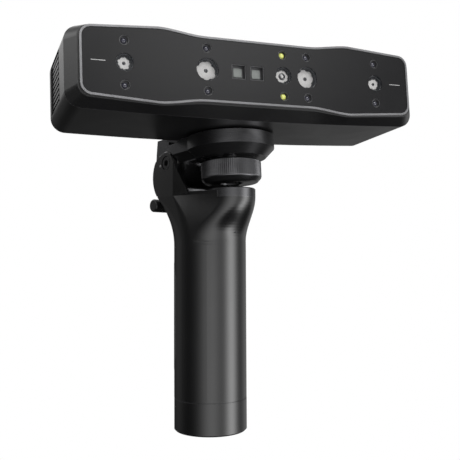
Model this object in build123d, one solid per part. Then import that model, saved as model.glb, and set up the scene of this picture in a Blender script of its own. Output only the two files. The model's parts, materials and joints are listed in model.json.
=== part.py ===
"""Handheld structured-light scanner: camera head, tilt platform, clamp wheel and handle."""
import math
import os

from build123d import *

# The handle frame is the part's frame: origin at the grip's bottom centre, +Z up, front towards -Y.
# The head and the platform are built in frames of their own and set in place at the end.

# Pose of the stored part (degrees)
REST_TILT = 3.2
REST_SWIVEL = -20.0

# Head, in the head frame: origin at the centre of the front rim, x right, y back, z up
HEAD_HALF_W = 86.5
HEAD_HALF_H = 20.5
HEAD_BOW = 0.00023
TOP_LIP = 1.8
HEAD_CORNER = 6.8
BEZEL_DEPTH = 7.2
COVER_Y = 52.4
HEAD_DEPTH = 55.2
WALL = 2.2
RIM_HALF_W = 81.0
RIM_WAIST = 14.8
RIM_HUMP = 17.0
RIM_END = 14.7
WAIST_X = 25.5
HUMP_X = 47.2
RIM_CORNER = 5.2
RIM_WIDTH = 0.95
GLASS_THICK = 1.6
OUTER_CAM_X = 62.07
INNER_CAM_X = 24.81
RGB_X = 12.35
SQUARE_X = (-9.9, -0.9)
LED_Z = 9.74
OUTER_CAM_R = 4.0
INNER_CAM_R = 5.2
RGB_R = 4.1
LED_R = 2.2
SQUARE = 6.8
SCREW_Y = 39.4
VENT_Y = (21.5, 49.5)
VENT_Z = (-12.5, 11.8)
VENT_BARS = 10

# Platform, in the platform frame: origin on the clamp screw's axis, level with the head's underside
DISC_R = 22.2
DISC_TOP = -0.6
BAND_BOTTOM = -7.3
BEVEL_BOTTOM = -11.7
BEVEL_R = 17.8
WHEEL_TOP = -13.0
WHEEL_BOTTOM = -23.9
WHEEL_R = 15.2
PIVOT_BACK = 27.9
PIVOT_DROP = 10.7
LUG_HALF_W = 16.0
BARREL_R = 12.2
KNUCKLE_R = 14.2
HEEL_FRONT = 30.2
HEEL_BACK = 12.9
HEEL_TOP = 3.4
SHOULDER_R = 6.7
SHOULDER_SLOPE = 17.0
STUD_R = 3.175

# Handle
GRIP_R = 18.6
GRIP_BORE = 15.4
CAP_TOP = 16.4
NECK_START = 94.0
FLARE_TOP = 119.0
NECK_TOP = 120.8
RING_Y = -17.2
RING_R = 11.8
RING_Z = (117.4, 122.1)
PIVOT_Y = 11.6
PIVOT_Z = 136.4
PIVOT_R = 3.0
CHEEK_OUT = 20.0
CHEEK_IN = 17.0
CHEEK_TOP_R = 6.0
CHEEK_SLOPE = 20.2
WASHER_R = 5.6
TEE_Y = 31.5
TEE_Z = 116.0
TEE_R = 3.5
TEE_HALF = 14.0

PARTS = {}


def add(name, shape):
    PARTS[name] = shape


def solids(shape):
    """All the solids of a shape as one compound, so a node holds no stray faces."""
    found = shape.solids()
    return found[0] if len(found) == 1 else Compound(found)


def cyl_y(r, y0, y1, x=0, z=0):
    """Cylinder along y from y0 to y1."""
    return Pos(x, (y0 + y1) / 2, z) * Rot(X=90) * Cylinder(r, y1 - y0)


def cyl_z(r, z0, z1, x=0, y=0):
    return Pos(x, y, (z0 + z1) / 2) * Cylinder(r, z1 - z0)


def cyl_x(r, x0, x1, y=0, z=0):
    return Pos((x0 + x1) / 2, y, z) * Rot(Y=90) * Cylinder(r, x1 - x0)


def block(x0, x1, y0, y1, z0, z1):
    return Pos((x0 + x1) / 2, (y0 + y1) / 2, (z0 + z1) / 2) * Box(x1 - x0, y1 - y0, z1 - z0)


def joined(pieces):
    """Union of a list of shapes."""
    whole = pieces[0]
    for piece in pieces[1:]:
        whole = whole + piece
    return whole


# ---------------------------------------------------------------- head outlines
def rim_height(x):
    """Half-height of the dog-bone window: a waist, two humps and a slow fall to the ends."""
    x = abs(x)
    if x < WAIST_X:
        return RIM_WAIST
    if x < HUMP_X:
        t = (x - WAIST_X) / (HUMP_X - WAIST_X)
        return RIM_WAIST + (RIM_HUMP - RIM_WAIST) * t * t * (3 - 2 * t)
    return RIM_HUMP + (RIM_END - RIM_HUMP) * (x - HUMP_X) / (RIM_HALF_W - HUMP_X)


def body_height(x):
    """Depth of the housing's underside below the axis: it bows outwards a little."""
    return HEAD_HALF_H - HEAD_BOW * x * x


def body_top(x):
    """Height of the housing's top, which follows the window's dog-bone line just above it."""
    return min(body_height(x), rim_height(x) + TOP_LIP)


def outline(height, half_w, corner, inset=0.0, depth=None):
    """Face in x and z with sixteen edges: height gives its top and depth, if any, its underside."""
    depth = depth or height
    half_w = half_w - inset
    corner = corner - inset
    end_x = half_w - corner
    stations = [-end_x, -HUMP_X, -WAIST_X, WAIST_X, HUMP_X, end_x]
    top = []
    below = []
    for x0, x1 in zip(stations, stations[1:]):
        xs = [x0 + (x1 - x0) * i / 6 for i in range(7)]
        top.append([(x, height(x) - inset) for x in xs])
        below.append([(-x, inset - depth(x)) for x in xs])
    end_z = height(end_x) - inset
    foot_z = inset - depth(end_x)
    k = corner * (1 - math.sqrt(0.5))
    edges = [Spline(*pts) for pts in top]
    edges.append(ThreePointArc((end_x, end_z), (half_w - k, end_z - k), (half_w, end_z - corner)))
    edges.append(Line((half_w, end_z - corner), (half_w, foot_z + corner)))
    edges.append(ThreePointArc((half_w, foot_z + corner), (half_w - k, foot_z + k), (end_x, foot_z)))
    edges += [Spline(*pts) for pts in below]
    edges.append(ThreePointArc((-end_x, foot_z), (k - half_w, foot_z + k), (-half_w, foot_z + corner)))
    edges.append(Line((-half_w, foot_z + corner), (-half_w, end_z - corner)))
    edges.append(ThreePointArc((-half_w, end_z - corner), (k - half_w, end_z - k), (-end_x, end_z)))
    return Plane.XZ * Face(Wire(edges))


def head_prism(height, half_w, corner, inset, y0, y1, depth=None):
    """Outline extruded along y from y0 to y1."""
    face = Pos(0, y0, 0) * outline(height, half_w, corner, inset, depth)
    return extrude(face, amount=y1 - y0, dir=(0, 1, 0))


def body_prism(inset, y0, y1):
    return head_prism(body_top, HEAD_HALF_W, HEAD_CORNER, inset, y0, y1, body_height)


def rim_prism(inset, y0, y1):
    return head_prism(rim_height, RIM_HALF_W, RIM_CORNER, inset, y0, y1)


# ---------------------------------------------------------------- head
def window_spots():
    """Centre and radius of each round window in the front glass."""
    spots = [(s * OUTER_CAM_X, 0, OUTER_CAM_R) for s in (-1, 1)]
    spots += [(s * INNER_CAM_X, 0, INNER_CAM_R) for s in (-1, 1)]
    spots.append((RGB_X, 0, RGB_R))
    return spots


def led_spots():
    """Infrared lamps, above and below each of the four cameras."""
    columns = (-OUTER_CAM_X, -INNER_CAM_X, INNER_CAM_X, OUTER_CAM_X)
    return [(x, s * LED_Z) for x in columns for s in (-1, 1)]


def flash_spots():
    return [(RGB_X, s * LED_Z) for s in (-1, 1)]


def make_front():
    glass_y = 0.35
    back = outline(body_top, HEAD_HALF_W, HEAD_CORNER, 0.0, body_height)
    slope = loft([outline(rim_height, RIM_HALF_W, RIM_CORNER), Pos(0, BEZEL_DEPTH, 0) * back], ruled=True)
    bezel = slope - rim_prism(RIM_WIDTH, -1, GLASS_THICK + 1.6)
    bezel = bezel - rim_prism(2.5, 1, BEZEL_DEPTH + 1)
    bezel = bezel - (rim_prism(-1, -1, 1.2) - rim_prism(RIM_WIDTH + 1, -2, 2))
    add("front_bezel", bezel)

    trim = rim_prism(0.0, 0.0, 1.2) - rim_prism(RIM_WIDTH, -1, 2)
    add("rim_trim", trim)

    glass = rim_prism(RIM_WIDTH + 0.05, glass_y, glass_y + GLASS_THICK)
    windows = []
    for x, z, r in window_spots():
        glass = glass - cyl_y(r, -1, 4, x, z)
        windows.append(cyl_y(r - 0.05, glass_y, glass_y + 0.8, x, z))
    add("camera_windows", Compound(windows))

    lamps = []
    for x, z in led_spots():
        glass = glass - cyl_y(LED_R, -1, 4, x, z)
        lamps.append(cyl_y(LED_R - 0.05, glass_y + 0.1, glass_y + 3.0, x, z))
    add("infrared_lamps", Compound(lamps))

    flashes = []
    for x, z in flash_spots():
        glass = glass - cyl_y(LED_R, -1, 4, x, z)
        flashes.append(cyl_y(LED_R - 0.05, glass_y + 0.1, glass_y + 3.0, x, z))
    add("flash_lamps", Compound(flashes))

    squares = []
    half = SQUARE / 2
    for x in SQUARE_X:
        glass = glass - block(x - half, x + half, -1, 4, -half, half)
        inner = half - 0.05
        squares.append(block(x - inner, x + inner, glass_y, glass_y + 0.8, -inner, inner))
    add("projector_windows", Compound(squares))

    marks = []
    for s in (-1, 1):
        x0, x1 = sorted((s * 70.26, s * 76.39))
        slot = block(x0, x1, -1, glass_y + 0.4, -0.18, 0.18)
        glass = glass - slot
        marks.append(block(x0, x1, glass_y, glass_y + 0.4, -0.18, 0.18))
    add("index_marks", Compound(marks))
    add("front_glass", glass)


def camera(x, r, barrel):
    """Camera module: a stepped lens barrel on a square sensor block."""
    body = cyl_y(r - 0.3, 1.3, 6.0, x, 0) + cyl_y(barrel, 6.0, 11.0, x, 0)
    body = body - cyl_y(r - 1.4, 1.0, 2.4, x, 0)
    return body + block(x - barrel - 0.8, x + barrel + 0.8, 11.0, 14.0, -barrel - 0.8, barrel + 0.8)


def make_cameras():
    for side, s in (("left", -1), ("right", 1)):
        add(side + "_outer_camera", camera(s * OUTER_CAM_X, OUTER_CAM_R, 5.2))
        add(side + "_inner_camera", camera(s * INNER_CAM_X, INNER_CAM_R, 5.4))
    add("colour_camera", camera(RGB_X, RGB_R, 4.2))
    units = []
    for x in SQUARE_X:
        units.append(block(x - 3.2, x + 3.2, 1.3, 13.0, -3.2, 3.2))
    add("pattern_projectors", Compound(units))

    bench = block(-72, 72, 14.2, 17.0, -12.5, 12.5)
    for x in (-45, -35, 35, 45):
        bench = bench - cyl_y(3.0, 13, 18, x, 0)
    add("optical_bench", bench)


def make_housing():
    shell = body_prism(0.0, BEZEL_DEPTH, COVER_Y) - body_prism(WALL, BEZEL_DEPTH - 1, COVER_Y + 1)
    for s in (-1, 1):
        x0, x1 = sorted((s * 80.0, s * 90.0))
        shell = shell - block(x0, x1, *VENT_Y, *VENT_Z)
    boss = cyl_z(8.0, -HEAD_HALF_H + WALL - 0.2, -HEAD_HALF_H + 9.0, 0, SCREW_Y)
    shell = shell + boss
    shell = shell - cyl_z(4.6, -HEAD_HALF_H - 1, -HEAD_HALF_H + 8.0, 0, SCREW_Y)
    for x in (-79, 79):
        for z in (-12.0, 12.0):
            x0, x1 = sorted((math.copysign(76.4, x), math.copysign(86.0, x)))
            z0, z1 = sorted((math.copysign(9.8, z), math.copysign(19.0, z)))
            post = block(x0, x1, VENT_Y[1] - 7.4, COVER_Y, z0, z1)
            post = post & body_prism(1.0, 20, COVER_Y)
            shell = shell + (post & block(-81.3, 81.3, 20, COVER_Y, -19, 19))
            shell = shell - cyl_y(1.2, 42, COVER_Y + 1, x, z)
    add("housing", solids(shell))

    insert = cyl_z(4.55, -HEAD_HALF_H + 0.3, -HEAD_HALF_H + 8.0, 0, SCREW_Y)
    insert = insert - cyl_z(STUD_R + 0.05, -HEAD_HALF_H, -HEAD_HALF_H + 9, 0, SCREW_Y)
    add("screw_insert", insert)


def vent(s):
    """Grille for one end: a recessed frame with level bars that come out nearly flush."""
    y0, y1 = VENT_Y[0] + 0.05, VENT_Y[1] - 0.05
    z0, z1 = VENT_Z[0] + 0.05, VENT_Z[1] - 0.05
    rim = 1.2
    front_rim = 6.5
    x0, x1 = sorted((s * 81.6, s * 83.4))
    frame = block(x0, x1, y0, y1, z0, z1)
    frame = frame - block(x0 - 1, x1 + 1, y0 + front_rim, y1 - rim, z0 + rim, z1 - rim)
    pitch = (z1 - z0 - 2 * rim) / (VENT_BARS - 1)
    lo, hi = sorted((s * 81.9, s * 85.8))
    bars = []
    for i in range(VENT_BARS):
        z = z0 + rim + pitch * i
        bars.append(block(lo, hi, y0 + front_rim - 0.1, y1 - rim + 0.1, z - 0.65, z + 0.65))
    return solids(joined([frame] + bars))


def make_rear():
    cover = body_prism(0.0, COVER_Y, HEAD_DEPTH)
    back_edges = cover.faces().sort_by(Axis.Y)[-1].edges()
    cover = fillet(back_edges, 1.8)
    cover = cover - body_prism(WALL, COVER_Y - 1, HEAD_DEPTH - 1.6)
    lip = body_prism(WALL + 0.05, COVER_Y - 2.5, HEAD_DEPTH - 1.5)
    lip = lip - body_prism(WALL + 1.4, COVER_Y - 3, HEAD_DEPTH)
    for x in (-79, 79):
        for z in (-12.0, 12.0):
            lip = lip - block(x - 6, x + 6, COVER_Y - 4, COVER_Y + 0.01, z - 7, z + 7)
    cover = cover + lip
    cover = cover - cyl_y(7.6, COVER_Y - 3, HEAD_DEPTH + 1, 0, 0)
    for x in (-18, 18):
        cover = cover - cyl_y(4.1, COVER_Y - 3, HEAD_DEPTH + 1, x, 0)
    for i in range(3):
        cover = cover - cyl_y(1.05, COVER_Y - 3, HEAD_DEPTH + 1, 34 + 5 * i, 0)
    port = block(-49.6, -40.4, COVER_Y - 3, HEAD_DEPTH + 1, -1.8, 1.8)
    cover = cover - fillet(port.edges().filter_by(Axis.Y), 1.75)
    for x in (-79, 79):
        for z in (-12.0, 12.0):
            cover = cover - cyl_y(1.3, COVER_Y - 1, HEAD_DEPTH + 1, x, z)
            cover = cover - cyl_y(2.3, HEAD_DEPTH - 0.9, HEAD_DEPTH + 1, x, z)
    add("rear_cover", solids(cover))

    screws = []
    for x in (-79, 79):
        for z in (-12.0, 12.0):
            screw = cyl_y(1.15, 44, HEAD_DEPTH - 0.85, x, z)
            screw = screw + cyl_y(2.2, HEAD_DEPTH - 0.9, HEAD_DEPTH - 0.1, x, z)
            socket = Rot(X=90) * extrude(RegularPolygon(0.8, 6), 0.5, both=True)
            screws.append(screw - Pos(x, HEAD_DEPTH - 0.3, z) * socket)
    add("cover_screws", Compound(screws))

    scan = cyl_y(7.5, HEAD_DEPTH - 4.2, HEAD_DEPTH + 0.7) - Pos(0, HEAD_DEPTH + 8.2, 0) * Sphere(8.0)
    add("scan_button", scan + cyl_y(8.4, HEAD_DEPTH - 5.0, HEAD_DEPTH - 4.2))
    for name, x in (("minus_button", -18), ("plus_button", 18)):
        cap = cyl_y(4.0, HEAD_DEPTH - 4.2, HEAD_DEPTH + 0.4, x)
        cap = cap - block(x - 1.8, x + 1.8, HEAD_DEPTH + 0.1, HEAD_DEPTH + 1, -0.3, 0.3)
        if x > 0:
            cap = cap - block(x - 0.3, x + 0.3, HEAD_DEPTH + 0.1, HEAD_DEPTH + 1, -1.8, 1.8)
        add(name, cap + cyl_y(4.9, HEAD_DEPTH - 5.0, HEAD_DEPTH - 4.2, x))
    lights = [cyl_y(1.0, COVER_Y - 2.6, HEAD_DEPTH - 0.1, 34 + 5 * i) for i in range(3)]
    add("status_lights", Compound(lights))

    shell = fillet(block(-49.5, -40.5, 44.0, HEAD_DEPTH - 0.3, -1.7, 1.7).edges().filter_by(Axis.Y), 1.65)
    hollow = fillet(block(-49.1, -40.9, 46.0, HEAD_DEPTH + 1, -1.3, 1.3).edges().filter_by(Axis.Y), 1.25)
    tongue = block(-48.0, -42.0, 45.5, HEAD_DEPTH - 1.2, -0.35, 0.35)
    add("usb_c_port", (shell - hollow) + tongue)


def make_electronics():
    boards = block(-66, 66, 19.0, 20.6, -13, 13)
    for i in range(6):
        boards = boards + block(-50 + 17 * i, -40 + 17 * i, 20.6, 22.0, -6, 6)
    add("main_board", boards)
    add("button_board", block(-52, 50, 42.4, 43.9, -6, 6))
    sink = block(-64, -24, 22.2, 24.0, -10, 10)
    for i in range(9):
        sink = sink + block(-63.5 + 4.8 * i, -62.3 + 4.8 * i, 24.0, 31.0, -10, 10)
    add("heat_sink", sink)
    fan = block(44, 74, 26.0, 36.0, -14.9, 14.4) - cyl_y(14.0, 25, 33.5, 59, 0)
    for i in range(8):
        a = math.radians(45 * i)
        fan = fan - cyl_y(2.4, 30, 37, 59 + 9.0 * math.cos(a), 9.0 * math.sin(a))
    add("fan_frame", fan)
    rotor = cyl_y(5.5, 26.6, 32.6, 59, 0)
    for i in range(7):
        blade = Rot(Y=360 / 7 * i) * Pos(8.9, 0, 0) * Rot(X=32) * Box(8.6, 5.4, 0.8)
        rotor = rotor + Pos(59, 29.6, 0) * blade
    add("fan_rotor", solids(rotor))


# ---------------------------------------------------------------- platform and clamp wheel
def lug_profile():
    """Side view of the lug in y and z: web, knuckle round the pivot and a low heel behind the head."""
    pivot = (PIVOT_BACK, -PIVOT_DROP)

    def at(radius, angle):
        a = math.radians(angle)
        return (pivot[0] + radius * math.cos(a), pivot[1] + radius * math.sin(a))

    web = make_face(Polyline((6, DISC_TOP), (30.0, DISC_TOP), pivot, (pivot[0], -20.0),
                             (16.5, BEVEL_BOTTOM), (6, BEVEL_BOTTOM), (6, DISC_TOP)))
    barrel = Pos(*pivot) * Circle(BARREL_R)
    knuckle = make_face([Line(at(KNUCKLE_R, -88), at(0, 0)), Line(at(0, 0), at(KNUCKLE_R, 12)),
                         ThreePointArc(at(KNUCKLE_R, -88), at(KNUCKLE_R, -38), at(KNUCKLE_R, 12))])
    back = pivot[0] + HEEL_BACK
    heel = make_face(Polyline(pivot, (back + 0.9, -8.0), (back + 0.4, -4.0), (back - 0.9, HEEL_TOP),
                              (32.4, HEEL_TOP), (30.6, DISC_TOP), (27.0, DISC_TOP), pivot))
    return web + barrel + knuckle + heel


def shoulder():
    """Flat-sided block behind the disc, bevelled below like it and sloping to the pivot above."""
    w = CHEEK_OUT
    drop = BAND_BOTTOM - BEVEL_BOTTOM
    section = make_face(Polyline((-w, DISC_TOP), (w, DISC_TOP), (w, BAND_BOTTOM), (w - drop, BEVEL_BOTTOM),
                                 (drop - w, BEVEL_BOTTOM), (-w, BAND_BOTTOM), (-w, DISC_TOP)))
    solid = extrude(Plane.XZ * section, amount=PIVOT_BACK, dir=(0, 1, 0))
    a = math.radians(SHOULDER_SLOPE)
    foot_y = PIVOT_BACK + CHEEK_TOP_R * math.sin(a)
    foot_z = CHEEK_TOP_R * math.cos(a) - PIVOT_DROP
    start_y = foot_y - (DISC_TOP - foot_z) / math.tan(a)
    above = make_face(Polyline((start_y, DISC_TOP), (foot_y, foot_z), (foot_y, 5),
                               (start_y, 5), (start_y, DISC_TOP)))
    solid = solid - extrude(Plane.YZ * above, 30, both=True)
    return solid - cyl_x(SHOULDER_R, -30, 30, PIVOT_BACK, -PIVOT_DROP)


def make_platform():
    band = cyl_z(DISC_R, BAND_BOTTOM, DISC_TOP)
    band = chamfer(band.edges().filter_by(GeomType.CIRCLE).sort_by(Axis.Z)[-1], 0.35)
    cone = Pos(0, 0, (BAND_BOTTOM + BEVEL_BOTTOM) / 2) * Cone(BEVEL_R, DISC_R, BAND_BOTTOM - BEVEL_BOTTOM)
    lug = extrude(Plane.YZ * lug_profile(), LUG_HALF_W, both=True)
    plate = band + cone + shoulder() + lug
    plate = plate - block(-40, 40, -40, HEEL_FRONT, DISC_TOP, 12)
    plate = plate - cyl_z(STUD_R + 0.3, -30, 5)
    plate = plate - cyl_z(20.5, -1.4, 1.0)
    plate = plate - cyl_z(6.2, -4.2, 0)
    plate = plate - cyl_x(PIVOT_R + 0.05, -40, 40, PIVOT_BACK, -PIVOT_DROP)
    plate = plate - cyl_z(WHEEL_R + 0.6, WHEEL_BOTTOM - 8, WHEEL_TOP + 0.4)
    add("platform", solids(plate))

    pad = cyl_z(20.4, -1.4, -0.35) - cyl_z(6.2, -3, 1)
    add("platform_pad", pad)

    wheel = cyl_z(WHEEL_R, WHEEL_BOTTOM, WHEEL_TOP)
    rims = wheel.edges().filter_by(GeomType.CIRCLE)
    wheel = chamfer(rims.sort_by(Axis.Z)[-1], 0.6)
    wheel = chamfer(wheel.edges().filter_by(GeomType.CIRCLE).sort_by(Axis.Z)[0], 1.5)
    wheel = wheel - cyl_z(STUD_R, -40, 5)
    add("clamp_wheel", wheel)
    stud = cyl_z(STUD_R, WHEEL_BOTTOM + 0.6, 6.5)
    stud = chamfer(stud.edges().filter_by(GeomType.CIRCLE).sort_by(Axis.Z)[-1], 0.6)
    add("clamp_screw", stud)
    clip = cyl_z(5.4, -3.4, -2.6) - cyl_z(STUD_R, -6, 0)
    add("retaining_clip", clip)


# ---------------------------------------------------------------- handle
def neck_section(z, front_t, back_t):
    """Outline of the neck at height z: the shares are 0 on the round grip and 1 at the hinge.

    The right half is the hull of three circles, at the front, the side and the back corner.
    """
    def between(start, end, t):
        return [u + (v - u) * t for u, v in zip(start, end)]

    round_r = GRIP_R - 0.1
    right = [between((0, -0.1, round_r), (0, RING_Y, RING_R), front_t),
             between((0.1, 0, round_r), (CHEEK_OUT - 2.5, 6.0, 2.5), back_t),
             between((0.1, 0.1, round_r), (CHEEK_OUT - 2.5, 18.0, 2.5), back_t)]
    angles = []
    for (x0, y0, r0), (x1, y1, r1) in zip(right, right[1:]):
        heading = math.atan2(y1 - y0, x1 - x0)
        angles.append(heading - math.acos((r0 - r1) / math.hypot(x1 - x0, y1 - y0)))
    angles.append(math.pi / 2)

    def spot(circle, angle, side=1):
        x, y, r = circle
        return (side * (x + r * math.cos(angle)), y + r * math.sin(angle))

    edges = []
    front, middle, back = right
    nose = (0, front[1] - front[2])
    edges.append(ThreePointArc(spot(front, angles[0], -1), nose, spot(front, angles[0])))

    def turn(circle, first, last, side):
        return ThreePointArc(spot(circle, first, side), spot(circle, (first + last) / 2, side),
                             spot(circle, last, side))

    for side in (1, -1):
        edges.append(Line(spot(front, angles[0], side), spot(middle, angles[0], side)))
        edges.append(turn(middle, angles[0], angles[1], side))
        edges.append(Line(spot(middle, angles[1], side), spot(back, angles[1], side)))
        edges.append(turn(back, angles[1], angles[2], side))
    edges.append(Line(spot(back, angles[2]), spot(back, angles[2], -1)))
    return Pos(0, 0, z) * Face(Wire(edges))


def neck():
    """Flare from the round grip to the hinge: the back starts at once and the front follows."""
    sections = []
    steps = 18
    for i in range(steps + 1):
        z = NECK_START + (FLARE_TOP - NECK_START) * i / steps
        back_t = (i / steps) ** 2
        rise = min(1.0, max(0.0, (z - NECK_START - 2.5) / 21.0))
        sections.append(neck_section(z, rise * rise * (3 - 2 * rise), back_t))
    sections.append(neck_section(NECK_TOP, 1.0, 1.0))
    return loft(sections, ruled=True)


def cheek(s):
    """One hinge cheek: a flat plate, round about the pivot, with a sloping top edge and a round back."""
    slope = math.radians(CHEEK_SLOPE)
    top = (PIVOT_Y + CHEEK_TOP_R * math.sin(slope), PIVOT_Z + CHEEK_TOP_R * math.cos(slope))
    crown = (PIVOT_Y - CHEEK_TOP_R * math.sin(slope), PIVOT_Z + CHEEK_TOP_R * math.cos(slope))
    front = (PIVOT_Y - CHEEK_TOP_R, PIVOT_Z + 0.2)
    back = math.radians(35)
    top_back = (11.0 + 12.5 * math.cos(back), 130.6 + 12.5 * math.sin(back))
    foot = NECK_TOP - 1.0
    profile = make_face([Line((-4.4, foot), front), ThreePointArc(front, crown, top),
                         Polyline(top, (17.6, 140.6), top_back),
                         ThreePointArc(top_back, (23.5, 130.6), (20.3, foot)),
                         Line((20.3, foot), (-4.4, foot))])
    plate = extrude(Plane.YZ * profile, CHEEK_OUT - CHEEK_IN)
    plate = Pos(CHEEK_IN, 0, 0) * plate
    nose = make_face(Polyline((CHEEK_OUT, 5.6), (CHEEK_OUT + 2, 5.6), (CHEEK_OUT + 2, -8),
                              (CHEEK_IN + 0.2, -8), (CHEEK_OUT, 5.6)))
    plate = plate - Pos(0, 0, 100) * extrude(nose, 60)
    outer = plate.faces().sort_by(Axis.X)[-1].edges()
    soft = [e for e in outer if e.center().Z > 122 and e.center().Y > PIVOT_Y]
    plate = chamfer(soft, 0.5)
    return plate if s > 0 else mirror(plate, Plane.YZ)


def make_handle():
    round_end = neck_section(NECK_START, 0.0, 0.0)
    grip = extrude(round_end, amount=NECK_START - CAP_TOP - 0.15, dir=(0, 0, -1))
    grip = grip + neck()
    grip = grip + cheek(1) + cheek(-1)
    grip = grip - cyl_z(GRIP_BORE, 10, 104)
    grip = grip - cyl_z(RING_R + 0.05, RING_Z[0], 140, 0, RING_Y)
    grip = grip - cyl_x(PIVOT_R, -30, 30, PIVOT_Y, PIVOT_Z)
    grip = grip - cyl_x(3.6, -30, -CHEEK_OUT + 1.2, PIVOT_Y, PIVOT_Z)
    grip = grip - cyl_x(3.6, CHEEK_OUT - 1.2, 30, PIVOT_Y, PIVOT_Z)
    grip = grip - cyl_y(2.5, 6.0, 40, 0, TEE_Z)
    grip = grip - cyl_z(2.4, 100, RING_Z[0] + 0.5, 0, RING_Y)
    seat = pad_outline(0.0)
    grip = grip - (seat & (cyl_z(30, 0, 120) - cyl_z(GRIP_R - 1.0, -1, 121)))
    for s in (-1, 1):
        grip = grip - cyl_x(0.75, *sorted((s * 16, s * 21)), 16.4, 135.4)
    add("grip", solids(grip))

    inlay = pad_outline(0.08) & (cyl_z(GRIP_R + 0.12, 0, 120) - cyl_z(GRIP_R - 0.98, -1, 121))
    add("grip_pad", solids(inlay))

    cap = cyl_z(GRIP_R, 0, CAP_TOP)
    cap = chamfer(cap.edges().filter_by(GeomType.CIRCLE).sort_by(Axis.Z)[0], 0.7)
    cap = cap + cyl_z(GRIP_BORE - 0.05, CAP_TOP, CAP_TOP + 6)
    cap = cap - cyl_z(12.0, 13.0, 40) - cyl_z(6.5, -1, 20)
    cap = cap - (cyl_z(30, CAP_TOP - 0.35, CAP_TOP + 0.15) - cyl_z(GRIP_R - 0.35, 0, 30))
    add("bottom_cap", cap)
    socket = cyl_z(6.5, 0.4, 13.0) - cyl_z(STUD_R, -1, 12.0)
    socket = socket + (cyl_z(8.5, 13.0, 14.6) - cyl_z(4, 13.0, 15))
    add("tripod_socket", socket)

    ring = cyl_z(RING_R, *RING_Z, 0, RING_Y)
    ring = chamfer(ring.edges().filter_by(GeomType.CIRCLE).sort_by(Axis.Z)[-1], 0.5)
    ring = ring - cyl_z(5.6, RING_Z[1] - 2.2, 130, 0, RING_Y)
    ring = ring - cyl_z(2.5, 110, 130, 0, RING_Y)
    add("neck_ring", ring)
    screw = cyl_z(2.3, 108, RING_Z[1] - 2.2, 0, RING_Y)
    screw = screw + cyl_z(4.2, RING_Z[1] - 2.2, RING_Z[1] - 0.2, 0, RING_Y)
    hexa = Pos(0, RING_Y, RING_Z[1] - 1.4) * extrude(RegularPolygon(1.6, 6), 1.5)
    add("ring_screw", screw - hexa)

    pin = cyl_x(PIVOT_R, -CHEEK_OUT + 0.2, CHEEK_OUT - 1.2, PIVOT_Y, PIVOT_Z)
    pin = pin + cyl_x(3.45, -CHEEK_OUT + 0.5, -CHEEK_OUT + 1.2, PIVOT_Y, PIVOT_Z)
    hexagon = Rot(Y=90) * RegularPolygon(1.75, 6)
    key = Pos(-CHEEK_OUT + 1.6, PIVOT_Y, PIVOT_Z) * extrude(hexagon, 2.0, both=True)
    add("pivot_bolt", solids(pin - key))
    nut = cyl_x(3.45, CHEEK_OUT - 1.15, CHEEK_OUT - 0.4, PIVOT_Y, PIVOT_Z)
    key = Pos(CHEEK_OUT - 0.7, PIVOT_Y, PIVOT_Z) * extrude(hexagon, 0.4, both=True)
    add("pivot_nut", nut - key)
    pins = [cyl_x(0.7, *sorted((s * 17.1, s * 20.0)), 16.4, 135.4) for s in (-1, 1)]
    add("stop_pins", Compound(pins))
    washers = []
    for s in (-1, 1):
        x0, x1 = sorted((s * (LUG_HALF_W + 0.06), s * (CHEEK_IN - 0.04)))
        hole = cyl_x(PIVOT_R + 0.02, x0 - 1, x1 + 1, PIVOT_Y, PIVOT_Z)
        washers.append(cyl_x(WASHER_R, x0, x1, PIVOT_Y, PIVOT_Z) - hole)
    add("friction_washers", Compound(washers))

    bar = cyl_x(TEE_R, -TEE_HALF, TEE_HALF, TEE_Y, TEE_Z)
    bar = fillet(bar.edges().filter_by(GeomType.CIRCLE), 0.8)
    hub = cyl_y(4.4, 22.6, TEE_Y - 1.0, 0, TEE_Z)
    bar = bar + hub - cyl_y(2.4, 15, TEE_Y - 1.5, 0, TEE_Z)
    add("lock_tee", solids(bar))
    add("lock_screw", cyl_y(2.4, 9.0, TEE_Y - 1.5, 0, TEE_Z))


def pad_outline(shrink):
    """Solid whose side walls are the outline of the soft grip pad, seen from behind."""
    w, z0, z1, r = 17.6 - shrink, 24.6 + shrink, 91.0 - shrink, 15.0
    plate = Pos(0, 15, (z0 + z1) / 2) * Box(2 * w, 30, z1 - z0)
    return fillet(plate.edges().filter_by(Axis.Y), r)


# ---------------------------------------------------------------- placing and export
make_front()
make_cameras()
make_housing()
make_rear()
make_electronics()
for name, s in (("left_vent", -1), ("right_vent", 1)):
    add(name, vent(s))
HEAD_NODES = list(PARTS)
make_platform()
PLATFORM_NODES = [name for name in PARTS if name not in HEAD_NODES]
make_handle()

tilt = math.radians(REST_TILT)
origin_y = PIVOT_Y - PIVOT_BACK * math.cos(tilt) + PIVOT_DROP * math.sin(tilt)
origin_z = PIVOT_Z + PIVOT_BACK * math.sin(tilt) + PIVOT_DROP * math.cos(tilt)
PLATFORM_AT = Pos(0, origin_y, origin_z) * Rot(X=-REST_TILT)
HEAD_AT = PLATFORM_AT * Rot(Z=REST_SWIVEL) * Pos(0, -SCREW_Y, HEAD_HALF_H)

os.makedirs("parts", exist_ok=True)
for name, shape in PARTS.items():
    if name in HEAD_NODES:
        shape = HEAD_AT * shape
    elif name in PLATFORM_NODES:
        shape = PLATFORM_AT * shape
    export_step(shape, "parts/" + name + ".step")
print(len(PARTS), "nodes written")
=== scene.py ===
# Handheld scanner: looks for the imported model. Lengths in the dictionaries are millimetres.
import json
import math
import random

import bmesh
import bpy
from mathutils import Matrix, Vector


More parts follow.
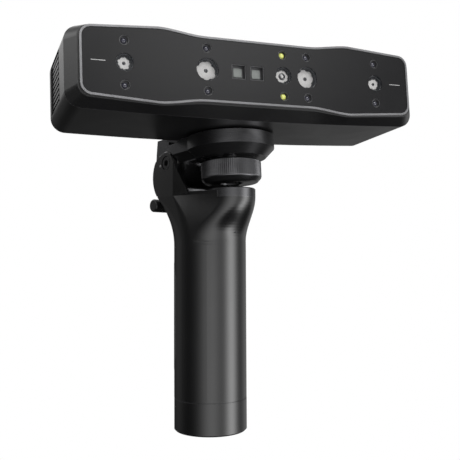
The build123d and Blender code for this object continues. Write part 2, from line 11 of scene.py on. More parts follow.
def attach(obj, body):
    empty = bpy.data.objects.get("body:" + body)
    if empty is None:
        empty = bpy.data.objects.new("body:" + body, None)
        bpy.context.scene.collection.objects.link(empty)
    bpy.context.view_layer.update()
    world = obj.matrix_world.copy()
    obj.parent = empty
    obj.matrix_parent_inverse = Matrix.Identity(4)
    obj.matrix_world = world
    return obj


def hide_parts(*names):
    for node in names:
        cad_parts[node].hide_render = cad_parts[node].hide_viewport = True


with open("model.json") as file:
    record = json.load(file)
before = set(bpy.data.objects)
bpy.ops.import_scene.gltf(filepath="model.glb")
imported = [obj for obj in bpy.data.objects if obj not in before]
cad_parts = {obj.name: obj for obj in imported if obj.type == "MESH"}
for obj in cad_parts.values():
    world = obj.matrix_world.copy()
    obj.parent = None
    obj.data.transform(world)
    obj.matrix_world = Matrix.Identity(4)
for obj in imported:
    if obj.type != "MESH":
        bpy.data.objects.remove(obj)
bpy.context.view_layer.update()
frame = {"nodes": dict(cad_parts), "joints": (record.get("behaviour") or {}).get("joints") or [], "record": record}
mm = 0.001
print("frame loaded with", len(frame["nodes"]), "nodes")


# the head's and the platform's own axes, read from the joints
joints = {joint["name"]: joint for joint in frame["joints"]}
headPlan = {"screwBack": 39.4, "halfHeight": 20.5}

upAxis = Vector(joints["head_swivel"]["axis"]).normalized()
backAxis = -Vector(joints["scan_press"]["axis"]).normalized()
swivelSpot = Vector(joints["head_swivel"]["pos_m"])


def axesAt(origin, xAxis, yAxis, zAxis):
    place = Matrix((xAxis, yAxis, zAxis)).transposed().to_4x4()
    place.translation = origin
    return place


headOrigin = swivelSpot + headPlan["halfHeight"] * mm * upAxis - headPlan["screwBack"] * mm * backAxis
headAxes = axesAt(headOrigin, backAxis.cross(upAxis), backAxis, upAxis)
acrossAxis = Vector((1, 0, 0))
platformAxes = axesAt(swivelSpot, acrossAxis, upAxis.cross(acrossAxis), upAxis)


def inFront(x, z):  # axes at a spot on the head's face, z pointing into the head
    turn = Matrix(((1, 0, 0), (0, 0, 1), (0, -1, 0))).to_4x4()
    return headAxes @ Matrix.Translation((x * mm, 0, z * mm)) @ turn


# camera
camera = {"spot": (-0.2276, -0.2727, 0.0857), "turn": 41.52, "rise": 2.62, "lean": -0.23, "lens": 53.48}


def makeCamera():
    lens = bpy.data.cameras.new("viewCamera")
    lens.lens = camera["lens"]
    lens.sensor_width = 36
    lens.clip_start = 0.01
    holder = bpy.data.objects.new("viewCamera", lens)
    bpy.context.scene.collection.objects.link(holder)
    turn, rise, lean = (math.radians(camera[key]) for key in ("turn", "rise", "lean"))
    holder.matrix_world = (Matrix.Translation(camera["spot"]) @ Matrix.Rotation(-turn, 4, "Z")
                           @ Matrix.Rotation(math.pi / 2 + rise, 4, "X") @ Matrix.Rotation(lean, 4, "Z"))
    bpy.context.scene.camera = holder


makeCamera()
print("camera set")


# node helpers
def put(tree, kind, **values):
    node = tree.nodes.new("ShaderNode" + kind)
    for key, value in values.items():
        name = key.replace("_", " ")
        if name in node.inputs:
            node.inputs[name].default_value = value
        else:
            setattr(node, key, value)
    return node


def wire(tree, source, target):
    tree.links.new(source, target)


def sumOf(tree, operation, *terms, clamp=False):
    node = tree.nodes.new("ShaderNodeMath")
    node.operation = operation
    node.use_clamp = clamp
    for index, term in enumerate(terms):
        if isinstance(term, (int, float)):
            node.inputs[index].default_value = term
        else:
            wire(tree, term, node.inputs[index])
    return node.outputs[0]


def newGroup(name, inputs, outputs):
    tree = bpy.data.node_groups.new(name, "ShaderNodeTree")
    for label, kind, value in inputs:
        socket = tree.interface.new_socket(name=label, in_out="INPUT", socket_type="NodeSocket" + kind)
        socket.default_value = value
    for label, kind in outputs:
        tree.interface.new_socket(name=label, in_out="OUTPUT", socket_type="NodeSocket" + kind)
    return tree, tree.nodes.new("NodeGroupInput").outputs, tree.nodes.new("NodeGroupOutput").inputs


def useGroup(tree, group, **values):
    node = tree.nodes.new("ShaderNodeGroup")
    node.node_tree = group
    for key, value in values.items():
        node.inputs[key].default_value = value
    return node


# shared effects
def makeGrain():  # fine moulding or sprayed texture
    sockets = [("Scale", "Float", 900.0), ("Mottle", "Float", 60.0)]
    tree, given, made = newGroup("fineGrain", sockets, [("Height", "Float"), ("Shade", "Float")])
    place = put(tree, "TexCoord").outputs["Object"]
    grain = put(tree, "TexNoise", Detail=2.0, Roughness=0.55)
    wire(tree, place, grain.inputs["Vector"])
    wire(tree, given["Scale"], grain.inputs["Scale"])
    mottle = put(tree, "TexNoise", Detail=3.0, Roughness=0.5)
    wire(tree, place, mottle.inputs["Vector"])
    wire(tree, given["Mottle"], mottle.inputs["Scale"])
    wire(tree, grain.outputs["Fac"], made["Height"])
    wire(tree, mottle.outputs["Fac"], made["Shade"])
    return tree


def makeTurnedLines():  # fine rings left by the lathe, square to the axis
    sockets = [("Across", "Float", 4000.0), ("Around", "Float", 40.0), ("Lean", "Float", 0.0)]
    tree, given, made = newGroup("turnedLines", sockets, [("Height", "Float"), ("Shade", "Float")])
    place = put(tree, "TexCoord").outputs["Object"]
    upright = put(tree, "VectorRotate", rotation_type="X_AXIS")
    wire(tree, place, upright.inputs["Vector"])
    wire(tree, given["Lean"], upright.inputs["Angle"])
    parts = put(tree, "SeparateXYZ")
    wire(tree, upright.outputs[0], parts.inputs[0])
    packed = put(tree, "CombineXYZ")
    for axis, density in (("X", "Around"), ("Y", "Around"), ("Z", "Across")):
        wire(tree, sumOf(tree, "MULTIPLY", parts.outputs[axis], given[density]), packed.inputs[axis])
    lines = put(tree, "TexNoise", Scale=1.0, Detail=3.0, Roughness=0.65)
    wire(tree, packed.outputs[0], lines.inputs["Vector"])
    wire(tree, lines.outputs["Fac"], made["Height"])
    wire(tree, lines.outputs["Fac"], made["Shade"])
    return tree


# edge mask: the lighter edge colour is partly wear and partly a painted highlight on edges and inside corners
def makeEdgeWearAndHighlight():  # 1 along outside and inside corners, broken up by a noise
    sockets = [("Width", "Float", 0.0004), ("Amount", "Float", 0.5)]
    tree, given, made = newGroup("edgeWearAndHighlight", sockets, [("Mask", "Float")])
    rounded = put(tree, "Bevel", samples=4)
    wire(tree, given["Width"], rounded.inputs["Radius"])
    flat = put(tree, "NewGeometry")
    dot = put(tree, "VectorMath", operation="DOT_PRODUCT")
    wire(tree, rounded.outputs[0], dot.inputs[0])
    wire(tree, flat.outputs["Normal"], dot.inputs[1])
    corner = put(tree, "MapRange", From_Min=0.995, From_Max=0.8, To_Min=0.0, To_Max=1.0)
    wire(tree, dot.outputs["Value"], corner.inputs["Value"])
    chips = put(tree, "TexNoise", Scale=350.0, Detail=4.0, Roughness=0.6)
    wire(tree, put(tree, "TexCoord").outputs["Object"], chips.inputs["Vector"])
    broken = put(tree, "MapRange", From_Min=0.35, From_Max=0.65, To_Min=0.35, To_Max=1.0)
    wire(tree, chips.outputs["Fac"], broken.inputs["Value"])
    both = sumOf(tree, "MULTIPLY", corner.outputs[0], broken.outputs[0])
    wire(tree, sumOf(tree, "MULTIPLY", both, given["Amount"], clamp=True), made["Mask"])
    return tree


def makeHandling():  # roughness that changes slowly where hands have polished or smudged it
    sockets = [("Scale", "Float", 40.0), ("Smooth", "Float", 0.3), ("Rough", "Float", 0.45)]
    tree, given, made = newGroup("handlingMarks", sockets, [("Roughness", "Float")])
    clouds = put(tree, "TexNoise", Detail=5.0, Roughness=0.6, Distortion=0.4)
    wire(tree, put(tree, "TexCoord").outputs["Object"], clouds.inputs["Vector"])
    wire(tree, given["Scale"], clouds.inputs["Scale"])
    spread = put(tree, "MapRange", From_Min=0.3, From_Max=0.7)
    wire(tree, clouds.outputs["Fac"], spread.inputs["Value"])
    wire(tree, given["Smooth"], spread.inputs["To Min"])
    wire(tree, given["Rough"], spread.inputs["To Max"])
    wire(tree, spread.outputs[0], made["Roughness"])
    return tree


def makeDust():  # specks that settle on what faces up
    tree, given, made = newGroup("settledDust", [("Amount", "Float", 0.1)], [("Mask", "Float")])
    facing = put(tree, "SeparateXYZ")
    wire(tree, put(tree, "NewGeometry").outputs["Normal"], facing.inputs[0])
    upward = put(tree, "MapRange", From_Min=0.3, From_Max=1.0)
    wire(tree, facing.outputs["Z"], upward.inputs["Value"])
    specks = put(tree, "TexNoise", Scale=1400.0, Detail=2.0, Roughness=0.7)
    wire(tree, put(tree, "TexCoord").outputs["Object"], specks.inputs["Vector"])
    sparse = put(tree, "MapRange", From_Min=0.6, From_Max=0.72)
    wire(tree, specks.outputs["Fac"], sparse.inputs["Value"])
    both = sumOf(tree, "MULTIPLY", upward.outputs[0], sparse.outputs[0])
    wire(tree, sumOf(tree, "MULTIPLY", both, given["Amount"], clamp=True), made["Mask"])
    return tree


fineGrain = makeGrain()
turnedLines = makeTurnedLines()
edgeWearAndHighlight = makeEdgeWearAndHighlight()
handlingMarks = makeHandling()
settledDust = makeDust()
print("shared effects built")


# materials
finishes = {
    "satin_black_shell": {"colour": (0.006, 0.006, 0.0063), "smooth": 0.28, "rough": 0.35,
                          "grain": 1500, "depth": 0.00001},
    "grip_black": {"colour": (0.0032, 0.0032, 0.0034), "smooth": 0.17, "rough": 0.23,
                          "grain": 2600, "depth": 0.000004},
    "soft_rubber": {"colour": (0.012, 0.012, 0.012), "smooth": 0.62, "rough": 0.75,
                          "grain": 1100, "depth": 0.00004},
    "vent_black": {"colour": (0.006, 0.006, 0.0063), "smooth": 0.28, "rough": 0.35,
                          "grain": 1500, "depth": 0.00001},
    "button_black": {"colour": (0.014, 0.014, 0.0145), "smooth": 0.35, "rough": 0.45,
                          "grain": 1800, "depth": 0.00001},
    "fan_plastic": {"colour": (0.02, 0.02, 0.02), "smooth": 0.4, "rough": 0.5,
                          "grain": 900, "depth": 0.00001},
    "washer_plastic": {"colour": (0.2, 0.2, 0.195), "smooth": 0.4, "rough": 0.5,
                          "grain": 900, "depth": 0.00001},
}
# lighter edge colour: partly worn paint, partly a painted highlight along edges
wornAndHighlitColour = (0.055, 0.055, 0.058, 1)
dustColour = (0.32, 0.31, 0.29, 1)


def startMaterial(name):
    material = bpy.data.materials.new(name)
    material.use_nodes = True
    tree = material.node_tree
    tree.nodes.clear()
    shader = put(tree, "BsdfPrincipled")
    wire(tree, shader.outputs[0], put(tree, "OutputMaterial").inputs["Surface"])
    return material, tree, shader


def mixed(tree, mask, low, high):  # low where the mask is 0, high where it is 1
    node = put(tree, "Mix", data_type="RGBA")
    wire(tree, mask, node.inputs["Factor"])
    sockets = [s for s in node.inputs if s.type == "RGBA"]
    for socket, value in zip(sockets, (low, high)):
        if isinstance(value, tuple):
            socket.default_value = value
        else:
            wire(tree, value, socket)
    return [s for s in node.outputs if s.type == "RGBA"][0]


def shaded(colour, factor):
    return tuple(min(1.0, value * factor) for value in colour) + (1,)


def roughen(tree, shader, height, depth):
    bump = put(tree, "Bump", Distance=depth)
    bump.inputs["Strength"].default_value = 1.0
    wire(tree, height, bump.inputs["Height"])
    wire(tree, bump.outputs[0], shader.inputs["Normal"])


def mouldedFinish(name):
    look = finishes[name]
    material, tree, shader = startMaterial(name)
    grain = useGroup(tree, fineGrain, Scale=float(look["grain"]), Mottle=70.0)
    wearAndHighlight = useGroup(tree, edgeWearAndHighlight, Width=0.00035, Amount=0.55)
    dust = useGroup(tree, settledDust, Amount=0.12)
    marks = useGroup(tree, handlingMarks, Scale=45.0, Smooth=look["smooth"], Rough=look["rough"])
    base = mixed(tree, grain.outputs["Shade"], shaded(look["colour"], 0.8), shaded(look["colour"], 1.2))
    # edges lightened, partly as wear and partly as a painted highlight
    wornAndHighlit = mixed(tree, wearAndHighlight.outputs["Mask"], base, wornAndHighlitColour)
    wire(tree, mixed(tree, dust.outputs["Mask"], wornAndHighlit, dustColour), shader.inputs["Base Color"])
    wire(tree, marks.outputs["Roughness"], shader.inputs["Roughness"])
    roughen(tree, shader, grain.outputs["Height"], look["depth"])
    return material


# the edge colour here is partly wear and partly a painted highlight along edges
turnedLook = {"colour": (0.048, 0.048, 0.050, 1), "bright": (0.075, 0.075, 0.078, 1),
              "wornAndHighlit": (0.22, 0.22, 0.23, 1), "metal": 0.92, "smooth": 0.21, "rough": 0.29, "stretch": 0.35, "lean": 3.2, "depth": 0.000012}


def turnedFinish():
    material, tree, shader = startMaterial("anodised_black")
    lines = useGroup(tree, turnedLines, Across=5200.0, Around=45.0, Lean=math.radians(turnedLook["lean"]))
    wearAndHighlight = useGroup(tree, edgeWearAndHighlight, Width=0.00025, Amount=0.7)
    marks = useGroup(tree, handlingMarks, Scale=60.0, Smooth=turnedLook["smooth"], Rough=turnedLook["rough"])
    base = mixed(tree, lines.outputs["Shade"], turnedLook["colour"], turnedLook["bright"])
    # edges lightened, partly as wear and partly as a painted highlight
    wire(tree, mixed(tree, wearAndHighlight.outputs["Mask"], base, turnedLook["wornAndHighlit"]), shader.inputs["Base Color"])
    wire(tree, marks.outputs["Roughness"], shader.inputs["Roughness"])
    shader.inputs["Metallic"].default_value = turnedLook["metal"]
    shader.inputs["Anisotropic"].default_value = turnedLook["stretch"]
    shader.inputs["Anisotropic Rotation"].default_value = 0.25
    wire(tree, put(tree, "Tangent", direction_type="RADIAL", axis="Z").outputs[0], shader.inputs["Tangent"])
    roughen(tree, shader, lines.outputs["Height"], turnedLook["depth"])
    return material


metals = {
    "bright_rim": {"colour": (0.16, 0.16, 0.165), "metal": 0.75, "smooth": 0.30, "rough": 0.38,
                          "grain": 1600},
    "blackened_steel": {"colour": (0.020, 0.020, 0.021), "metal": 0.6, "smooth": 0.26, "rough": 0.36,
                          "grain": 1400},
    "screw_steel": {"colour": (0.30, 0.30, 0.31), "metal": 1.0, "smooth": 0.28, "rough": 0.4,
                          "grain": 1600},
    "brass": {"colour": (0.62, 0.44, 0.17), "metal": 1.0, "smooth": 0.25, "rough": 0.38, "grain": 1600},
    "raw_aluminium": {"colour": (0.52, 0.52, 0.53), "metal": 1.0, "smooth": 0.34, "rough": 0.46,
                          "grain": 1200},
    "bright_mark": {"colour": (0.20, 0.20, 0.20), "metal": 0.0, "smooth": 0.35, "rough": 0.45,
                          "grain": 1200},
}


def metalFinish(name):
    look = metals[name]
    material, tree, shader = startMaterial(name)
    grain = useGroup(tree, fineGrain, Scale=float(look["grain"]), Mottle=220.0)
    marks = useGroup(tree, handlingMarks, Scale=90.0, Smooth=look["smooth"], Rough=look["rough"])
    shade = mixed(tree, grain.outputs["Shade"], shaded(look["colour"], 0.82), shaded(look["colour"], 1.15))
    wire(tree, shade, shader.inputs["Base Color"])
    wire(tree, marks.outputs["Roughness"], shader.inputs["Roughness"])
    shader.inputs["Metallic"].default_value = look["metal"]
    roughen(tree, shader, grain.outputs["Height"], 0.000004)
    return material


glasses = {
    "dark_glass": {"colour": (0.006, 0.006, 0.0065), "smooth": 0.13, "rough": 0.17, "coat": 0.0},
    "infrared_lamp": {"colour": (0.020, 0.020, 0.031), "smooth": 0.20, "rough": 0.28, "coat": 0.0},
    "flash_lamp": {"colour": (0.42, 0.44, 0.10), "smooth": 0.35, "rough": 0.45, "coat": 0.2},
    "status_light": {"colour": (0.45, 0.5, 0.46), "smooth": 0.3, "rough": 0.4, "coat": 0.0},
    "circuit_board": {"colour": (0.012, 0.075, 0.03), "smooth": 0.25, "rough": 0.35, "coat": 0.2},
    "lens_pupil": {"colour": (0.006, 0.006, 0.009), "smooth": 0.05, "rough": 0.09, "coat": 0.5},
    "projector_filter": {"colour": (0.105, 0.113, 0.107), "smooth": 0.25, "rough": 0.35, "coat": 0.0},
}


def glossFinish(name):
    look = glasses[name]
    material, tree, shader = startMaterial(name)
    grain = useGroup(tree, fineGrain, Scale=500.0, Mottle=55.0)
    marks = useGroup(tree, handlingMarks, Scale=32.0, Smooth=look["smooth"], Rough=look["rough"])
    shade = mixed(tree, grain.outputs["Shade"], shaded(look["colour"], 0.9), shaded(look["colour"], 1.1))
    wire(tree, shade, shader.inputs["Base Color"])
    wire(tree, marks.outputs["Roughness"], shader.inputs["Roughness"])
    shader.inputs["Coat Weight"].default_value = look["coat"]
    shader.inputs["Coat Roughness"].default_value = 0.05
    return material


windowLook = {"dark": (0.02, 0.022, 0.026, 1), "pale": (0.03, 0.033, 0.038, 1), "cover": 0.16}


def clearWindow():
    material, tree, shader = startMaterial("clear_window")
    marks = useGroup(tree, handlingMarks, Scale=120.0, Smooth=0.04, Rough=0.09)
    grain = useGroup(tree, fineGrain, Scale=400.0, Mottle=300.0)
    tint = mixed(tree, grain.outputs["Shade"], windowLook["dark"], windowLook["pale"])
    wire(tree, tint, shader.inputs["Base Color"])
    wire(tree, marks.outputs["Roughness"], shader.inputs["Roughness"])
    shader.inputs["Alpha"].default_value = windowLook["cover"]
    return material


discLook = {"colour": (0.62, 0.61, 0.60), "warm": (0.50, 0.49, 0.48), "well": (0.040, 0.040, 0.042),
            "black": (0.007, 0.007, 0.0075)}


def lensDisc():  # light coated plate that surrounds each pupil
    material, tree, shader = startMaterial("iris_plate")
    grain = useGroup(tree, fineGrain, Scale=2500.0, Mottle=900.0)
    marks = useGroup(tree, handlingMarks, Scale=400.0, Smooth=0.4, Rough=0.55)
    shade = mixed(tree, grain.outputs["Shade"], (*discLook["warm"], 1), (*discLook["colour"], 1))
    wire(tree, shade, shader.inputs["Base Color"])
    wire(tree, marks.outputs["Roughness"], shader.inputs["Roughness"])
    roughen(tree, shader, grain.outputs["Height"], 0.00002)
    return material


def wellFinish(name, colour, smooth, rough):
    material, tree, shader = startMaterial(name)
    grain = useGroup(tree, fineGrain, Scale=1800.0, Mottle=260.0)
    marks = useGroup(tree, handlingMarks, Scale=200.0, Smooth=smooth, Rough=rough)
    shade = mixed(tree, grain.outputs["Shade"], shaded(colour, 0.8), shaded(colour, 1.2))
    wire(tree, shade, shader.inputs["Base Color"])
    wire(tree, marks.outputs["Roughness"], shader.inputs["Roughness"])
    return material


materials = {name: mouldedFinish(name) for name in finishes}
materials.update({name: metalFinish(name) for name in metals})
materials.update({name: glossFinish(name) for name in glasses})
materials["anodised_black"] = turnedFinish()
materials["clear_window"] = clearWindow()
materials["iris_plate"] = lensDisc()
materials["well_wall"] = wellFinish("well_wall", discLook["well"], 0.3, 0.42)
materials["lens_black"] = wellFinish("lens_black", discLook["black"], 0.35, 0.5)
print("materials built:", len(materials))


def dressNodes():
    slotOf = {part["node"]: part["material_slot"] for part in frame["record"]["subparts"]}
    for name, node in frame["nodes"].items():
        node.data.materials.clear()
        node.data.materials.append(materials[slotOf[name]])


dressNodes()
print("frame nodes dressed")


# mesh helpers
def turned(bm, profile, place, steps=64, mark=0, ripple=None, closed=False):
    rings = []
    for level, (radius, along) in enumerate(profile):
        ring = []
        for step in range(steps):
            angle = 2 * math.pi * step / steps
            reach = radius + (ripple(angle, level) if ripple else 0.0)
            spot = Vector((reach * math.cos(angle), reach * math.sin(angle), along)) * mm
            ring.append(bm.verts.new(place @ spot))
        rings.append(ring)
    pairs = list(zip(rings, rings[1:]))
    if closed:
        pairs.append((rings[-1], rings[0]))
    for lower, upper in pairs:
        for step in range(steps):
            after = (step + 1) % steps
            face = bm.faces.new((lower[step], lower[after], upper[after], upper[step]))
            face.material_index = mark
            face.smooth = True


def bevelBox(bm, low, high, place, mark=0, edge=0.15):
    start = len(bm.faces)
    size = [b - a for a, b in zip(low, high)]
    middle = Vector([(a + b) / 2 for a, b in zip(low, high)]) * mm
    shape = place @ Matrix.Translation(middle) @ Matrix.Diagonal((*[s * mm for s in size], 1))
    made = bmesh.ops.create_cube(bm, size=1.0, matrix=shape)
    edges = {e for v in made["verts"] for e in v.link_edges}
    bmesh.ops.bevel(bm, geom=list(edges), offset=edge * mm, segments=2, affect="EDGES")
    bm.faces.ensure_lookup_table()
    for face in bm.faces[start:]:
        face.material_index = mark


def finishPiece(bm, name, body, looks, stands, sharp=35):
    bmesh.ops.remove_doubles(bm, verts=bm.verts, dist=1e-6)
    bmesh.ops.dissolve_degenerate(bm, edges=bm.edges, dist=1e-7)
    bmesh.ops.recalc_face_normals(bm, faces=bm.faces)
    mesh = bpy.data.meshes.new(name)
    bm.to_mesh(mesh)
    bm.free()
    for polygon in mesh.polygons:
        polygon.use_smooth = True
    mesh.set_sharp_from_angle(angle=math.radians(sharp))
    for look in looks:
        mesh.materials.append(materials[look])
    piece = bpy.data.objects.new(name, mesh)
    bpy.context.scene.collection.objects.link(piece)
    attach(piece, body)
    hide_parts(*stands)
    return piece


# knurled clamp wheel
wheelPlan = {"radius": 15.2, "top": -13.0, "bottom": -23.9, "bore": 3.175, "teeth": 92, "cut": 0.34,
             "knurlTop": -13.5, "knurlBottom": -21.6, "lip": 1.9}


def makeWheel():
    plan = wheelPlan
    radius, cut = plan["radius"], plan["cut"]
    top, bottom, bore = plan["top"], plan["bottom"], plan["bore"]
    start, stop, foot = plan["knurlTop"], plan["knurlBottom"], radius - plan["lip"]
    profile = [(bore, top), (radius - 0.9, top), (radius - 0.35, start + 0.15), (radius - 0.05, start - 0.25),
               (radius, start - 0.7), (radius, stop + 0.5), (radius - 0.1, stop + 0.1), (radius - 0.2, stop),
               (radius - 0.25, stop - 0.35), (foot, bottom + 0.15), (foot - 0.3, bottom), (bore + 2.4, bottom),
               (bore + 2.2, bottom + 0.8), (bore, bottom + 0.8)]
    depthAt = {3: 0.5, 4: 1.0, 5: 1.0, 6: 0.6}  # share of the full cut at each ring of the profile

    def ripple(angle, level):
        wave = abs(((angle * plan["teeth"] / (2 * math.pi)) % 1.0) * 2 - 1)
        return -cut * depthAt.get(level, 0.0) * wave

    bm = bmesh.new()
    turned(bm, profile, platformAxes, steps=plan["teeth"] * 4, ripple=ripple, closed=True)
    looks = ["anodised_black"]
    finishPiece(bm, "knurled_wheel", "clamp_wheel", looks, ["clamp_wheel"], sharp=28)


makeWheel()
print("clamp wheel knurled")


# camera modules behind the front glass
outerLens = {"window": 4.0, "disc": 2.6, "pupil": 0.8, "deep": 2.5, "back": 5.2, "teeth": 9}
innerLens = {"window": 5.2, "disc": 4.35, "pupil": 0.95, "deep": 3.2, "back": 5.4, "teeth": 7}
colourLens = {"window": 4.1, "disc": 2.95, "pupil": 1.75, "deep": 2.5, "back": 4.2, "teeth": 8}
lensPlans = {
    "left_outer_camera": {"x": -62.07, "seed": 3, **outerLens},
    "right_outer_camera": {"x": 62.07, "seed": 8, **outerLens},
    "left_inner_camera": {"x": -24.81, "seed": 5, **innerLens},
    "right_inner_camera": {"x": 24.81, "seed": 6, **innerLens},
    "colour_camera": {"x": 12.35, "seed": 4, **colourLens},
}
moduleShape = {
    "wallGap": 0.32, "rimGap": 0.06, "face": 1.22, "shoulder": 6.0, "barrel": 6.2, "board": 11.0,
    "boardBack": 14.0, "boardEdge": 0.7, "ledge": (0.35, 0.75), "ledgeRoom": 0.9, "ledgeRise": 0.12,
    "plateRise": 0.32, "plateFoot": 0.1,
    "dome": ((0.0, -0.22), (0.45, -0.17), (0.8, -0.06), (1.0, 0.06)), "domeFit": 0.98, "domeFoot": 0.05,
    "centre": ((0.0, -0.34), (0.55, -0.30), (0.75, -0.2), (0.75, 0.0), (0.0, 0.0)), "centreRoom": 1.2,
}


def makeModule(name, plan):
    place = inFront(plan["x"], 0.0)
    window, deep, back, disc, pupil = (plan[key] for key in ("window", "deep", "back", "disc", "pupil"))
    wall, rim, face = window - moduleShape["wallGap"], window - moduleShape["rimGap"], moduleShape["face"]
    board = moduleShape["board"]
    bm = bmesh.new()
    turned(bm, [(wall, deep), (wall, face + 0.1), (wall + 0.08, face), (rim, face)], place, mark=1)
    shoulder, start = moduleShape["shoulder"], moduleShape["barrel"]
    turned(bm, [(rim, face), (rim, shoulder), (back, start), (back, board), (0.0, board)], place)
    floor = [(0.0, deep), (wall, deep)]
    if disc + moduleShape["ledgeRoom"] < wall:
        inside, outside = (disc + reach for reach in moduleShape["ledge"])
        raised = deep - moduleShape["ledgeRise"]
        floor[1:1] = [(inside, deep), (inside, raised), (outside, raised), (outside, deep)]
    turned(bm, floor, place)
    half = back + moduleShape["boardEdge"]
    bevelBox(bm, (-half, -half, board), (half, half, moduleShape["boardBack"]), place, edge=0.3)
    draw = random.Random(plan["seed"])
    shape = [(draw.uniform(0.02, 0.045), draw.randint(2, 5), draw.uniform(0, 6.28)) for _ in range(3)]

    def ripple(angle, level):  # notched outer edge, even inner edge
        if level in (0, 3):
            return 0.0
        notch = 0.5 + 0.5 * math.cos(plan["teeth"] * angle + shape[0][2])
        swell = sum(size * math.cos(count * angle + start) for size, count, start in shape)
        return disc * (swell - 0.12 * notch ** 3)

    plateTop, plateFoot = deep - moduleShape["plateRise"], deep - moduleShape["plateFoot"]
    plate = [(pupil, plateTop), (disc, plateTop), (disc, plateFoot), (pupil, plateFoot)]
    turned(bm, plate, place, steps=96, mark=2, ripple=ripple, closed=True)
    bulge, domeFoot = pupil * moduleShape["domeFit"], deep - moduleShape["domeFoot"]
    dome = [(bulge * share, plateTop + rise) for share, rise in moduleShape["dome"]]
    turned(bm, dome + [(bulge, domeFoot), (0.0, domeFoot)], place, steps=40, mark=3)
    if pupil > moduleShape["centreRoom"]:  # the colour camera shows a second pale ring inside the pupil
        centre = [(radius, plateTop + rise) for radius, rise in moduleShape["centre"]]
        turned(bm, centre, place, steps=40, mark=2)
    looks = ["lens_black", "well_wall", "iris_plate", "lens_pupil"]
    finishPiece(bm, name + "_module", "head", looks, [name])


for cameraName, lensPlan in lensPlans.items():
    makeModule(cameraName, lensPlan)
print("camera modules built")


# lamps and projectors
lampPlan = {
    "columns": (-62.07, -24.81, 24.81, 62.07), "rise": 9.74, "radius": 2.2, "flashColumn": 12.35,
    "wallGap": 0.3, "chamferGap": 0.22, "rimGap": 0.06, "face": 0.5, "chamfer": 0.62, "deep": 2.0, "back": 3.3,
    "dome": 1.35, "flashDome": 1.5, "domeShape": ((0.0, 0.62), (0.5, 0.52), (0.85, 0.26), (1.0, 0.0)),
}
projectorPlan = {"spots": (-9.9, -0.9), "half": 3.35, "wall": 0.3, "face": 0.55, "deep": 2.6, "back": 13.0,
                 "inner": 2.1, "filterRise": 0.5, "filterFoot": 0.02}


def addLampWell(bm, place, dome):
    radius, face, deep = lampPlan["radius"], lampPlan["face"], lampPlan["deep"]
    wall, edge, rim = (radius - lampPlan[gap] for gap in ("wallGap", "chamferGap", "rimGap"))
    back = lampPlan["back"]
    turned(bm, [(wall, deep), (wall, lampPlan["chamfer"]), (edge, face), (rim, face)], place, steps=40, mark=1)
    turned(bm, [(rim, face), (rim, back), (0.0, back)], place, steps=40)
    turned(bm, [(0.0, deep), (wall, deep)], place, steps=40, mark=1)
    profile = [(dome * share, deep - dome * rise) for share, rise in lampPlan["domeShape"]]
    turned(bm, profile, place, steps=32, mark=2)


def makeLamps():
    bm = bmesh.new()
    for column in lampPlan["columns"]:
        for side in (-1, 1):
            addLampWell(bm, inFront(column, side * lampPlan["rise"]), lampPlan["dome"])
    looks = ["lens_black", "well_wall", "infrared_lamp"]
    finishPiece(bm, "infrared_lamp_wells", "head", looks, ["infrared_lamps"])
    bm = bmesh.new()
    for side in (-1, 1):
        addLampWell(bm, inFront(lampPlan["flashColumn"], side * lampPlan["rise"]), lampPlan["flashDome"])
    looks = ["lens_black", "well_wall", "flash_lamp"]
    finishPiece(bm, "flash_lamp_wells", "head", looks, ["flash_lamps"])


def makeProjectors():
    bm = bmesh.new()
    half, inner, deep, face = (projectorPlan[key] for key in ("half", "inner", "deep", "face"))
    clear = half - projectorPlan["wall"]
    for x in projectorPlan["spots"]:
        place = inFront(x, 0.0)
        for side in (-1, 1):
            low, high = sorted((side * clear, side * half))
            bevelBox(bm, (low, -half, face), (high, half, deep), place, mark=1, edge=0.06)
            bevelBox(bm, (-clear, low, face), (clear, high, deep), place, mark=1, edge=0.06)
        bevelBox(bm, (-half, -half, deep), (half, half, projectorPlan["back"]), place, mark=1, edge=0.1)
        filterTop, filterFoot = deep - projectorPlan["filterRise"], deep - projectorPlan["filterFoot"]
        bevelBox(bm, (-inner, -inner, filterTop), (inner, inner, filterFoot), place, mark=2, edge=0.1)
    looks = ["lens_black", "well_wall", "projector_filter"]
    stands = ["projector_windows", "pattern_projectors"]
    finishPiece(bm, "projector_wells", "head", looks, stands)


makeLamps()
makeProjectors()
print("lamps and projectors built")


# studio: soft pillars of light painted on the surroundings, angles run from the front towards the left end
studio = {
    "front": {"around": 36, "middle": -17, "tall": 26, "soft": 8, "tight": 6.0, "power": 2.3},
    "strip": {"around": -29, "middle": -19, "tall": 29, "soft": 6, "tight": 17.0, "power": 6.0},
    "right": {"around": -88, "middle": -6, "tall": 14, "soft": 8, "tight": 9.0, "power": 0.45},
    "key": {"around": 0, "middle": 46, "tall": 10, "soft": 6, "tight": 9.0, "power": 14.0},
    "glassGlow": {"around": -2, "middle": 24, "tall": 7, "soft": 6, "tight": 45.0, "power": 1.0},
    "leftHigh": {"around": 105, "middle": 30, "tall": 12, "soft": 9, "tight": 2.2, "power": 3.0},
    "lowLeft": {"around": 152, "middle": 4, "tall": 20, "soft": 10, "tight": 9.0, "power": 0.22},
    "rightRear": {"around": 243, "middle": -12, "tall": 18, "soft": 12, "tight": 8.0, "power": 0.2},
    "rear": {"around": 200, "middle": 30, "tall": 14, "soft": 12, "tight": 3.0, "power": 1.2},
    "top": {"around": 0, "middle": 75, "tall": 20, "soft": 14, "tight": 0.0, "power": 1.1},
}
ambient = 0.012


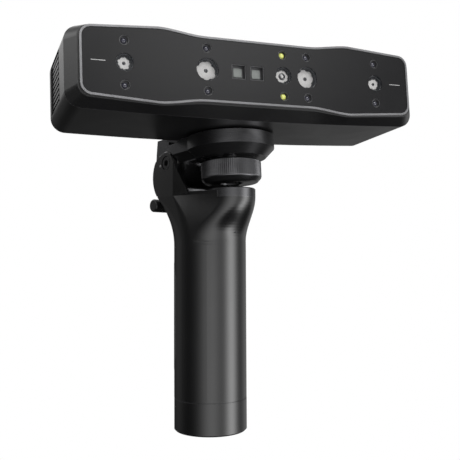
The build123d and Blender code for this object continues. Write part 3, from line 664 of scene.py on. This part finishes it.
def makePillar():
    sockets = [("Towards", "Vector", (0, -1, 0)), ("Tight", "Float", 5.0), ("Middle", "Float", 0.0),
               ("Tall", "Float", 0.3), ("Soft", "Float", 0.1), ("Power", "Float", 1.0)]
    tree, given, made = newGroup("softPillar", sockets, [("Light", "Float")])
    ray = put(tree, "TexCoord").outputs["Generated"]
    level = put(tree, "VectorMath", operation="MULTIPLY")
    wire(tree, ray, level.inputs[0])
    level.inputs[1].default_value = (1, 1, 0)
    unit = put(tree, "VectorMath", operation="NORMALIZE")
    wire(tree, level.outputs[0], unit.inputs[0])
    dot = put(tree, "VectorMath", operation="DOT_PRODUCT")
    wire(tree, unit.outputs[0], dot.inputs[0])
    wire(tree, given["Towards"], dot.inputs[1])
    offAxis = sumOf(tree, "SUBTRACT", dot.outputs["Value"], 1.0)
    across = sumOf(tree, "EXPONENT", sumOf(tree, "MULTIPLY", offAxis, given["Tight"]))
    height = put(tree, "SeparateXYZ")
    wire(tree, ray, height.inputs[0])
    angle = sumOf(tree, "ARCSINE", height.outputs["Z"])
    off = sumOf(tree, "ABSOLUTE", sumOf(tree, "SUBTRACT", angle, given["Middle"]))
    fall = put(tree, "MapRange", interpolation_type="SMOOTHSTEP", To_Min=1.0, To_Max=0.0)
    wire(tree, off, fall.inputs["Value"])
    wire(tree, sumOf(tree, "SUBTRACT", given["Tall"], given["Soft"]), fall.inputs["From Min"])
    wire(tree, sumOf(tree, "ADD", given["Tall"], given["Soft"]), fall.inputs["From Max"])
    light = sumOf(tree, "MULTIPLY", sumOf(tree, "MULTIPLY", across, fall.outputs[0]), given["Power"])
    wire(tree, light, made["Light"])
    return tree


def makeStudio():
    world = bpy.data.worlds.new("studio")
    bpy.context.scene.world = world
    world.use_nodes = True
    tree = world.node_tree
    tree.nodes.clear()
    pillar = makePillar()
    total = None
    for light in studio.values():
        turn = math.radians(light["around"])
        lamp = useGroup(tree, pillar, Towards=(-math.sin(turn), -math.cos(turn), 0), Tight=light["tight"],
                        Middle=math.radians(light["middle"]), Tall=math.radians(light["tall"]),
                        Soft=math.radians(light["soft"]), Power=light["power"]).outputs["Light"]
        total = sumOf(tree, "ADD", total if total else ambient, lamp)
    lit = put(tree, "Background", Color=(1, 1, 1, 1))
    wire(tree, total, lit.inputs["Strength"])
    plain = put(tree, "Background", Color=(1, 1, 1, 1), Strength=1.0)
    choose = put(tree, "MixShader")
    wire(tree, put(tree, "LightPath").outputs["Is Camera Ray"], choose.inputs[0])
    wire(tree, lit.outputs[0], choose.inputs[1])
    wire(tree, plain.outputs[0], choose.inputs[2])
    wire(tree, choose.outputs[0], put(tree, "OutputWorld").inputs["Surface"])
    bpy.context.scene.view_settings.view_transform = "Standard"


def makeFloor():
    bm = bmesh.new()
    bmesh.ops.create_circle(bm, cap_ends=True, segments=96, radius=6.0)
    mesh = bpy.data.meshes.new("paleFloor")
    bm.to_mesh(mesh)
    bm.free()
    floor = bpy.data.objects.new("paleFloor", mesh)
    bpy.context.scene.collection.objects.link(floor)
    floor.location.z = -0.0002
    material = bpy.data.materials.new("paleFloor")
    material.use_nodes = True
    tree = material.node_tree
    tree.nodes.clear()
    pale = put(tree, "Emission", Color=(1, 1, 1, 1), Strength=1.0)
    wire(tree, pale.outputs[0], put(tree, "OutputMaterial").inputs["Surface"])
    mesh.materials.append(material)
    floor.visible_diffuse = False
    floor.visible_glossy = False
    floor.visible_shadow = False


makeStudio()
makeFloor()
print("studio lit")
